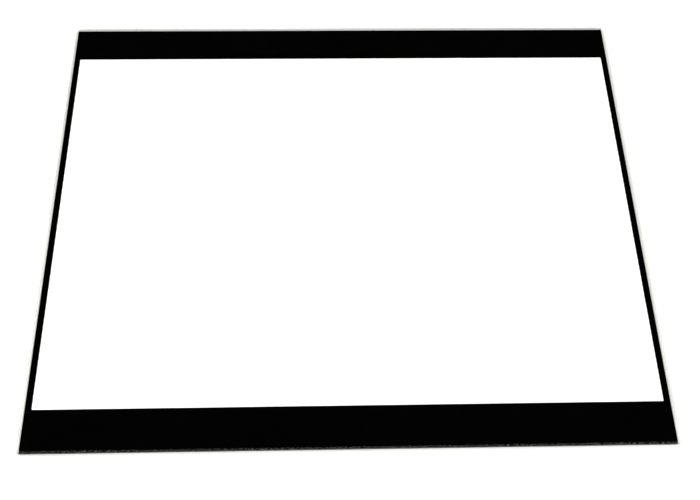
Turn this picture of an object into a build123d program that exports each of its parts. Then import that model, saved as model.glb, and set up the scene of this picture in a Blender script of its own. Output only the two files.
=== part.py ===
"""Inner glass of an oven door.

One flat pane of toughened clear glass, its edge ground to a pencil round on all four sides, with a
black enamel border fired onto its underside and seen through the glass. Narrow bands run along the two
sides and wide bands along the near and far edges. They leave a clear window in the middle, and the
enamel stops just short of the ground edge.

The pane lies flat on its enamel. The origin is the centre of the enamelled underside, +X runs along the
width, +Y from the near edge to the far edge, and +Z up, out of the plain face. Lengths are millimetres.
"""

import os

from build123d import *

# Pane
pane_width = 500.0  # along X
pane_height = 410.0  # along Y, upright when the pane is in its door
pane_thickness = 4.0
edge_land = 0.5  # flat strip between the two rounds of the ground edge
face_corner_radius = 1.25  # corners of the flat faces, inside the ground edge

# Enamel border
enamel_thickness = 0.03
clear_margin = 0.1  # bare glass between the ground edge and the enamel
side_band = 5.3
near_band = 33.0
far_band = 34.0
enamel_corner_radius = 1.2
window_corner_radius = 0.6

# Sizes that follow from these
edge_round = (pane_thickness - edge_land) / 2
pane_corner_radius = face_corner_radius + edge_round
enamel_inset = edge_round + clear_margin
enamel_width = pane_width - 2 * enamel_inset
enamel_height = pane_height - 2 * enamel_inset
window_width = enamel_width - 2 * side_band
window_height = enamel_height - near_band - far_band
window_shift = (near_band - far_band) / 2  # the window's centre, along Y from the pane's centre

# Enamel: one thin frame under the pane, open at the window
with BuildPart() as enamel_border:
    with BuildSketch():
        RectangleRounded(enamel_width, enamel_height, enamel_corner_radius)
        with Locations((0, window_shift)):
            RectangleRounded(window_width, window_height, window_corner_radius, mode=Mode.SUBTRACT)
    extrude(amount=enamel_thickness)
enamel_border.part.label = "enamel_border"

# Glass: a plate with round corners on the enamel, ground round along the rims of both faces
with BuildPart() as glass_pane:
    with BuildSketch(Plane.XY.offset(enamel_thickness)):
        RectangleRounded(pane_width, pane_height, pane_corner_radius)
    extrude(amount=pane_thickness)
    rims = glass_pane.faces().filter_by(Axis.Z).edges()
    fillet(rims, radius=edge_round)
glass_pane.part.label = "glass_pane"

os.makedirs("parts", exist_ok=True)
for piece in (glass_pane.part, enamel_border.part):
    export_step(piece, f"parts/{piece.label}.step")
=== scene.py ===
"""Looks of an oven door's inner glass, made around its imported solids.

The pane is rebuilt with a finely rounded ground edge, in clear glass with a faint green tint, and the
border as a fired enamel film on its underside, which bites into the glass. Lengths are metres, in the
frame of the solids.
"""

import math

import bmesh
import bpy
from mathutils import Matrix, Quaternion, Vector


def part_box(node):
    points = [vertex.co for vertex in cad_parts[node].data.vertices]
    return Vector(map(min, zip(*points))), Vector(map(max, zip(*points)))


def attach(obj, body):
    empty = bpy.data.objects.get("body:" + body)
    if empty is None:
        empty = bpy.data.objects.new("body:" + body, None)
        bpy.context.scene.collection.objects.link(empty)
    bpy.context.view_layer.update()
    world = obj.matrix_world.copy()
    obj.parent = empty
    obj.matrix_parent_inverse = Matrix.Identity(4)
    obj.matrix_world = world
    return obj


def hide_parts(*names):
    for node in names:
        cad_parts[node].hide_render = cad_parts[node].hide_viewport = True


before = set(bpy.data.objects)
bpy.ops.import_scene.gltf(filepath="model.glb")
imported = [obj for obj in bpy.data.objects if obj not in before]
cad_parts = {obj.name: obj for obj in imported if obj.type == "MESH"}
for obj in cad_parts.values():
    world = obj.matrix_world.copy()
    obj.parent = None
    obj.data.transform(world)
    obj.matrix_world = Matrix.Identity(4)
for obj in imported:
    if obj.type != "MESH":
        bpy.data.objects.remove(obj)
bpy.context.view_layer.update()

MM = 0.001

# Pane and border, as in the solids
pane_low, pane_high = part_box("glass_pane")
print_low, print_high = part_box("enamel_border")
pane_half_x = (pane_high.x - pane_low.x) / 2
pane_half_y = (pane_high.y - pane_low.y) / 2
print_half_x = (print_high.x - print_low.x) / 2
print_half_y = (print_high.y - print_low.y) / 2
pane_thickness = pane_high.z - pane_low.z
edge_land = 0.5 * MM
edge_round = (pane_thickness - edge_land) / 2
face_corner_radius = 1.25 * MM
pane_corner_radius = face_corner_radius + edge_round
enamel_corner_radius = 1.2 * MM
window_corner_radius = 0.6 * MM
side_band = 5.3 * MM
near_band = 33.0 * MM
far_band = 34.0 * MM
window_half_x = print_half_x - side_band
window_half_y = print_half_y - (near_band + far_band) / 2
window_middle_y = (near_band - far_band) / 2

# Fineness of the meshes
corner_steps = 14  # along a quarter turn of an outline
edge_steps = 14  # along each of the ground edge's two rounds
side_step = 10.0 * MM  # along the straight sides, about
side_steps = (round(2 * pane_half_x / side_step), round(2 * pane_half_y / side_step))  # in X and in Y

# Glass
glass_ior = 1.52
glass_tint = (0.45, 0.8, 0.5, 1.0)
glass_tint_density = 12.0
ground_overrun = 0.25 * MM  # how far the grinding fades out onto the flat faces
ground_roughness = (0.2, 0.3)
mark_scale = (500.0, 5200.0, 1.0)  # grinding marks in a metre, along the edge and across it
mark_depth = 0.01 * MM
mark_strength = 0.2
face_roughness = (0.004, 0.03)  # from clean to smeared
wipe_scale = (9.0, 30.0, 9.0)  # smears in a metre
wave_scale = (1.5, 6.0, 1.0)  # waves in a metre
wave_depth = 0.04 * MM

# Enamel
enamel_bite = 0.01 * MM  # how far the fired film reaches into the glass
enamel_soft_edge = 0.02 * MM  # round of the film's free rim
enamel_soft_middle = 0.3 * enamel_soft_edge  # how far the middle of that round lies in from its ends
enamel_dark = (0.0005, 0.0005, 0.0006)
enamel_pale = (0.0015, 0.0014, 0.0013)
enamel_ior = 1.5
fused_roughness = (0.5, 0.7)
sheen_roughness = (0.22, 0.32)
grain_roughness = (-0.02, 0.03)  # what the grain takes from the sheen's roughness or adds to it
cloud_scale = 22.0  # these four count patterns in a metre
grain_scale = 2600.0
peel_scale = 900.0
pinhole_scale = 160.0
pinhole_reach = (0.02, 0.05)  # a pinhole's floor and rim, as shares of a cell of the pattern
pinhole_relief = (-2.0, 0.0)  # heights there, where the orange peel is 0 to 1
peel_depth = 0.004 * MM
peel_strength = 0.7

# Camera, fitted to the border's edges in the photograph
camera_place = Vector((-0.02017, -0.42451, 0.71767))
camera_aim = Vector((0.00271, -0.03341, 0.00003))
camera_roll = math.radians(2.388)
camera_lens = 50.276  # millimetres, as is the sensor
camera_sensor = 36.0

# Stage
floor_gap = 0.1 * MM  # air between the enamel and the floor
floor_radius = 40.0
floor_sides = 96
floor_colour = (0.92, 0.92, 0.92, 1.0)
floor_glow = (1.0, 1.0, 0.97, 1.0)
floor_glow_reach = (0.5, 1.2)  # the glow rises between these distances from the middle
floor_glow_level = (0.55, 1.1)
room_levels = (  # how steeply a direction rises, and the brightness there
    (0.0, 1.0), (0.2, 1.0), (0.22, 0.2), (0.42, 0.1), (0.65, 0.012), (1.0, 0.012),
)
lamp_colour = (1.0, 0.99, 0.92)
lamps = (  # name, place, width and height, watts
    ("key", (-1.5, 0.6, 1.55), (1.0, 0.85), 36.0),
    ("fill", (1.65, -0.1, 1.3), (1.4, 1.2), 22.0),
    ("front", (0.0, -1.0, 1.7), (2.8, 0.8), 6.0),
)


# Meshes

def outline(half_x, half_y, radius, height, middle_y=0.0):
    """One closed loop of points round a rectangle with round corners, counter-clockwise from +X."""
    arcs = []
    for quarter, (side_x, side_y) in enumerate(((1, 1), (-1, 1), (-1, -1), (1, -1))):
        centre_x = side_x * (half_x - radius)
        centre_y = side_y * (half_y - radius) + middle_y
        arc = []
        for step in range(corner_steps + 1):
            angle = math.radians(90) * (quarter + step / corner_steps)
            arc.append(Vector((
                centre_x + radius * math.cos(angle),
                centre_y + radius * math.sin(angle),
                height,
            )))
        arcs.append(arc)
    points = []
    for quarter, arc in enumerate(arcs):
        points += arc
        steps = side_steps[quarter % 2]
        start = arc[-1]
        end = arcs[(quarter + 1) % 4][0]
        points += [start.lerp(end, step / steps) for step in range(1, steps)]
    return points


def edge_profile():
    """The ground edge from the upper rim to the lower one: (distance in from the outline, height)."""
    upper = []
    lower = []
    for step in range(edge_steps + 1):
        angle = math.radians(90) * step / edge_steps
        inset = edge_round * (1 - math.sin(angle))
        drop = edge_round * (1 - math.cos(angle))
        upper.append((inset, pane_high.z - drop))
        lower.append((inset, pane_low.z + drop))
    return upper + lower[::-1]


def add_loops(mesh, loops):
    """The loops' points as mesh vertices."""
    return [[mesh.verts.new(point) for point in loop] for loop in loops]


def bridge(mesh, rows):
    """Quads between each row of vertices and the next one."""
    faces = []
    for first, second in zip(rows, rows[1:]):
        for i in range(len(first)):
            j = (i + 1) % len(first)
            faces.append(mesh.faces.new((first[i], second[i], second[j], first[j])))
    return faces


def fill_flat(mesh, row, half_x, half_y, radius, height):
    """Closes an outline: a grid of quads, a row of quads along each side and a fan at each corner."""
    steps_x, steps_y = side_steps
    grid = []
    for i in range(steps_x + 1):
        x = (half_x - radius) * (1 - 2 * i / steps_x)
        column = []
        for j in range(steps_y + 1):
            y = (half_y - radius) * (1 - 2 * j / steps_y)
            column.append(mesh.verts.new((x, y, height)))
        grid.append(column)
    for first, second in zip(grid, grid[1:]):
        for j in range(steps_y):
            mesh.faces.new((first[j], second[j], second[j + 1], first[j + 1]))

    # The grid's rim in the order of the outline, a corner once for each point of the arc round it
    far_side = [column[0] for column in grid]
    near_side = [column[-1] for column in grid]
    rim = []
    for side in (far_side, grid[-1], near_side[::-1], grid[0][::-1]):
        rim += [side[0]] * (corner_steps + 1) + side[1:-1]
    for i in range(len(row)):
        j = (i + 1) % len(row)
        corners = [row[i], row[j], rim[j]]
        if rim[i] is not rim[j]:
            corners.append(rim[i])
        mesh.faces.new(corners)


def lay_out_edge(faces, run, loops, profile):
    """Maps the edge's faces: along the outline, and across it from rim to rim."""
    middle = loops[len(loops) // 2]
    count = len(middle)
    along = [0.0]
    for i, point in enumerate(middle):
        along.append(along[-1] + (middle[(i + 1) % count] - point).length)
    across = [0.0]
    for first, second in zip(profile, profile[1:]):
        across.append(across[-1] + math.dist(first, second))
    for index, face in enumerate(faces):
        row, i = divmod(index, count)
        spots = ((i, row), (i, row + 1), (i + 1, row + 1), (i + 1, row))
        for corner, (place, level) in zip(face.loops, spots):
            corner[run].uv = (along[place], across[level])


def finish_mesh(mesh, name, materials):
    """Turns the bmesh into an object of that name, with its faces looking out."""
    bmesh.ops.recalc_face_normals(mesh, faces=mesh.faces[:])
    data = bpy.data.meshes.new(name)
    mesh.to_mesh(data)
    mesh.free()
    for material in materials:
        data.materials.append(material)
    piece = bpy.data.objects.new(name, data)
    bpy.context.scene.collection.objects.link(piece)
    return piece


def make_pane(material):
    """The glass, with its ground edge marked by an attribute and mapped along its run."""
    inner = edge_round + ground_overrun
    profile = [(inner, pane_high.z)] + edge_profile() + [(inner, pane_low.z)]
    mesh = bmesh.new()
    ground = mesh.verts.layers.float.new("ground")
    run = mesh.loops.layers.uv.new("edge_run")
    loops = []
    for inset, height in profile:
        loops.append(outline(
            pane_half_x - inset, pane_half_y - inset, pane_corner_radius - inset, height
        ))
    rows = add_loops(mesh, loops)
    for row in rows[1:-1]:
        for vertex in row:
            vertex[ground] = 1.0
    faces = bridge(mesh, rows)
    for face in faces:
        face.smooth = True
    flat = (pane_half_x - inner, pane_half_y - inner, pane_corner_radius - inner)
    fill_flat(mesh, rows[0], *flat, pane_high.z)
    fill_flat(mesh, rows[-1], *flat, pane_low.z)
    lay_out_edge(faces, run, loops, profile)
    return finish_mesh(mesh, "pane_body", [material])


def make_enamel(fused_material, free_material):
    """The film: a thin frame with a soft lower rim, its upper face just inside the glass."""
    soft = enamel_soft_edge
    middle = enamel_soft_middle
    top = print_high.z + enamel_bite
    bottom = print_low.z

    def outer(inset, height):
        return outline(print_half_x - inset, print_half_y - inset, enamel_corner_radius - inset, height)

    def inner(inset, height):
        return outline(
            window_half_x + inset, window_half_y + inset, window_corner_radius + inset,
            height, window_middle_y,
        )

    mesh = bmesh.new()
    rows = add_loops(mesh, [
        outer(0, top),
        outer(0, bottom + soft),
        outer(middle, bottom + middle),
        outer(soft, bottom),
        inner(soft, bottom),
        inner(middle, bottom + middle),
        inner(0, bottom + soft),
        inner(0, top),
    ])
    for face in bridge(mesh, rows):
        face.material_index = 1
    bridge(mesh, [rows[-1], rows[0]])
    return finish_mesh(mesh, "enamel_print", [fused_material, free_material])


# Materials

class Nodes:
    """A short way to write a material's nodes."""

    def __init__(self, tree):
        self.tree = tree

    def add(self, kind, **inputs):
        """A node with its inputs set: by value, or by the socket that feeds it."""
        node = self.tree.nodes.new(kind)
        for name, value in inputs.items():
            self.put(node, name, value)
        return node

    def put(self, node, name, value):
        """Sets one input of a node, by name or number."""
        socket = node.inputs[name]
        if isinstance(value, bpy.types.NodeSocket):
            self.tree.links.new(value, socket)
        else:
            socket.default_value = value

    def place(self):
        """A point's place in its object."""
        return self.add("ShaderNodeTexCoord").outputs["Object"]

    def math(self, operation, *values):
        """A Math node's result."""
        node = self.add("ShaderNodeMath")
        node.operation = operation
        for i, value in enumerate(values):
            self.put(node, i, value)
        return node.outputs[0]

    def stretched(self, vector, scale):
        """A vector, with each of its parts scaled."""
        return self.add("ShaderNodeMapping", Vector=vector, Scale=scale).outputs[0]

    def noise(self, vector, scale=1.0, detail=2.0, roughness=0.5):
        """A noise pattern's value, about 0.5 on average."""
        node = self.add(
            "ShaderNodeTexNoise", Vector=vector, Scale=scale, Detail=detail, Roughness=roughness
        )
        return node.outputs["Fac"]

    def spread(self, value, span, result):
        """Maps a value from one (low, high) pair to another, held at the ends."""
        node = self.add("ShaderNodeMapRange", Value=value)
        for i, number in enumerate((*span, *result), start=1):
            self.put(node, i, number)
        return node.outputs[0]

    def blend(self, factor, first, second):
        """A number between two others, by a factor."""
        node = self.add("ShaderNodeMix")
        for i, value in ((0, factor), (2, first), (3, second)):
            self.put(node, i, value)
        return node.outputs[0]

    def ramp(self, value, stops):
        """A colour by value, between stops of (position, colour)."""
        node = self.add("ShaderNodeValToRGB", Fac=value)
        elements = node.color_ramp.elements
        while len(elements) < len(stops):
            elements.new(0.5)
        for element, (position, colour) in zip(elements, stops):
            element.position = position
            element.color = (*colour, 1.0)
        return node.outputs["Color"]

    def bump(self, height, depth, strength=1.0):
        """A relief in the surface."""
        return self.add("ShaderNodeBump", Strength=strength, Distance=depth, Height=height)


def new_material(name):
    """A material with nothing but an output: itself, its nodes and that output."""
    material = bpy.data.materials.new(name)
    material.use_nodes = True
    material.node_tree.nodes.clear()
    nodes = Nodes(material.node_tree)
    return material, nodes, nodes.add("ShaderNodeOutputMaterial")


def new_principled(name):
    """A material with a Principled shader: itself, its nodes, its output and that shader."""
    material, nodes, output = new_material(name)
    shader = nodes.add("ShaderNodeBsdfPrincipled")
    nodes.put(output, "Surface", shader.outputs[0])
    return material, nodes, output, shader


def glass_material():
    """Clear float glass: polished and faintly wavy on its faces, satin along the ground edge."""
    material, nodes, output, shader = new_principled("clear_float_glass")
    shader.inputs["Base Color"].default_value = (1.0, 1.0, 1.0, 1.0)
    shader.inputs["Transmission Weight"].default_value = 1.0
    shader.inputs["IOR"].default_value = glass_ior
    place = nodes.place()
    edge_map = nodes.add("ShaderNodeUVMap")
    edge_map.uv_map = "edge_run"
    edge_mask = nodes.add("ShaderNodeAttribute")
    edge_mask.attribute_name = "ground"
    ground = edge_mask.outputs["Fac"]

    # Wiped faces against grinding marks that run along the edge
    smears = nodes.noise(nodes.stretched(place, wipe_scale), detail=3.0, roughness=0.6)
    face_rough = nodes.spread(smears, (0.35, 0.75), face_roughness)
    marks = nodes.noise(nodes.stretched(edge_map.outputs[0], mark_scale))
    edge_rough = nodes.spread(marks, (0.25, 0.75), ground_roughness)
    nodes.put(shader, "Roughness", nodes.blend(ground, face_rough, edge_rough))

    # The long wave of toughened glass, and the marks as fine relief
    wave = nodes.noise(nodes.stretched(place, wave_scale), detail=1.0)
    wave_bump = nodes.bump(wave, wave_depth)
    mark_bump = nodes.bump(nodes.math("MULTIPLY", marks, ground), mark_depth, mark_strength)
    nodes.put(mark_bump, "Normal", wave_bump.outputs[0])
    nodes.put(shader, "Normal", mark_bump.outputs[0])

    tint = nodes.add("ShaderNodeVolumeAbsorption", Color=glass_tint, Density=glass_tint_density)
    nodes.put(output, "Volume", tint.outputs[0])
    return material


def enamel_colour(nodes, place):
    """The enamel's near black, a little uneven, and the cloud that it follows."""
    cloud = nodes.noise(place, cloud_scale, detail=4.0, roughness=0.6)
    return nodes.ramp(cloud, ((0.3, enamel_dark), (0.75, enamel_pale))), cloud


def fused_enamel_material():
    """The enamel's face that is fused to the glass: no gloss of its own, only a faint mottle."""
    material, nodes, _, shader = new_principled("black_enamel_fused")
    colour, cloud = enamel_colour(nodes, nodes.place())
    nodes.put(shader, "Base Color", colour)
    nodes.put(shader, "Roughness", nodes.spread(cloud, (0.3, 0.7), fused_roughness))
    shader.inputs["Specular IOR Level"].default_value = 0.0
    return material


def free_enamel_material():
    """The enamel's free face: semi-gloss, with a fine orange peel, pinholes and uneven sheen."""
    material, nodes, _, shader = new_principled("black_enamel_fired")
    shader.inputs["IOR"].default_value = enamel_ior
    place = nodes.place()
    colour, cloud = enamel_colour(nodes, place)
    nodes.put(shader, "Base Color", colour)

    sheen = nodes.spread(cloud, (0.3, 0.7), sheen_roughness)
    grain = nodes.spread(nodes.noise(place, grain_scale), (0.3, 0.7), grain_roughness)
    nodes.put(shader, "Roughness", nodes.math("ADD", sheen, grain))

    peel = nodes.noise(place, peel_scale)
    pinholes = nodes.add("ShaderNodeTexVoronoi", Vector=place, Scale=pinhole_scale)
    pits = nodes.spread(pinholes.outputs["Distance"], pinhole_reach, pinhole_relief)
    relief = nodes.bump(nodes.math("ADD", peel, pits), peel_depth, peel_strength)
    nodes.put(shader, "Normal", relief.outputs[0])
    return material


# Stage

def floor_material():
    """A pale floor that carries the shadow near the object and goes over to plain white further out."""
    material, nodes, output = new_material("pale_floor")
    path = nodes.add("ShaderNodeLightPath").outputs
    seen = nodes.math("ADD", path["Is Camera Ray"], path["Is Glossy Ray"])
    seen = nodes.math("MINIMUM", nodes.math("ADD", seen, path["Is Transmission Ray"]), 1.0)
    distance = nodes.add("ShaderNodeVectorMath", Vector=nodes.place())
    distance.operation = "LENGTH"
    level = nodes.spread(distance.outputs["Value"], floor_glow_reach, floor_glow_level)

    lit = nodes.add("ShaderNodeBsdfDiffuse", Color=floor_colour)
    strength = nodes.math("MULTIPLY", seen, level)
    glow = nodes.add("ShaderNodeEmission", Color=floor_glow, Strength=strength)
    both = nodes.add("ShaderNodeAddShader")
    nodes.put(both, 0, lit.outputs[0])
    nodes.put(both, 1, glow.outputs[0])
    nodes.put(output, "Surface", both.outputs[0])
    material.cycles.emission_sampling = "NONE"  # the glow is seen but isn't a lamp
    return material


def make_floor():
    """A wide flat disc just under the enamel."""
    mesh = bmesh.new()
    bmesh.ops.create_circle(mesh, cap_ends=True, segments=floor_sides, radius=floor_radius)
    floor = finish_mesh(mesh, "floor", [floor_material()])
    floor.location.z = print_low.z - floor_gap


def make_world():
    """A studio: a white sweep round the horizon, under a dark ceiling."""
    world = bpy.data.worlds.new("studio")
    world.use_nodes = True
    world.node_tree.nodes.clear()
    nodes = Nodes(world.node_tree)
    direction = nodes.add("ShaderNodeTexCoord").outputs["Generated"]
    rise = nodes.add("ShaderNodeSeparateXYZ", Vector=direction).outputs["Z"]
    room = nodes.ramp(rise, [(height, (level, level, level)) for height, level in room_levels])
    background = nodes.add("ShaderNodeBackground", Color=room, Strength=1.0)
    output = nodes.add("ShaderNodeOutputWorld")
    nodes.put(output, "Surface", background.outputs[0])
    bpy.context.scene.world = world


def softbox(name, place, size, watts):
    """A large soft lamp that points at the pane and isn't seen by the camera itself."""
    light = bpy.data.lights.new(name, "AREA")
    light.shape = "RECTANGLE"
    light.size, light.size_y = size
    light.energy = watts
    light.color = lamp_colour
    lamp = bpy.data.objects.new(name, light)
    lamp.location = place
    lamp.rotation_mode = "QUATERNION"
    lamp.rotation_quaternion = (-Vector(place)).to_track_quat("-Z", "Y")
    lamp.visible_camera = False
    bpy.context.scene.collection.objects.link(lamp)


def make_camera():
    """The photograph's camera: placed, aimed and rolled."""
    data = bpy.data.cameras.new("camera")
    data.sensor_width = camera_sensor
    data.lens = camera_lens
    camera = bpy.data.objects.new("camera", data)
    camera.location = camera_place
    aim = (camera_aim - camera_place).to_track_quat("-Z", "Y")
    camera.rotation_mode = "QUATERNION"
    camera.rotation_quaternion = aim @ Quaternion((0, 0, 1), camera_roll)
    bpy.context.scene.collection.objects.link(camera)
    bpy.context.scene.camera = camera


# Scene

pane = make_pane(glass_material())
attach(pane, "root")
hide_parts("glass_pane")

enamel = make_enamel(fused_enamel_material(), free_enamel_material())
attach(enamel, "root")
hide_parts("enamel_border")

make_floor()
make_world()
for lamp_values in lamps:
    softbox(*lamp_values)
make_camera()
bpy.context.scene.view_settings.view_transform = "Standard"
bpy.context.scene.cycles.blur_glossy = 0.0  # light stays sharp on its way through the glass
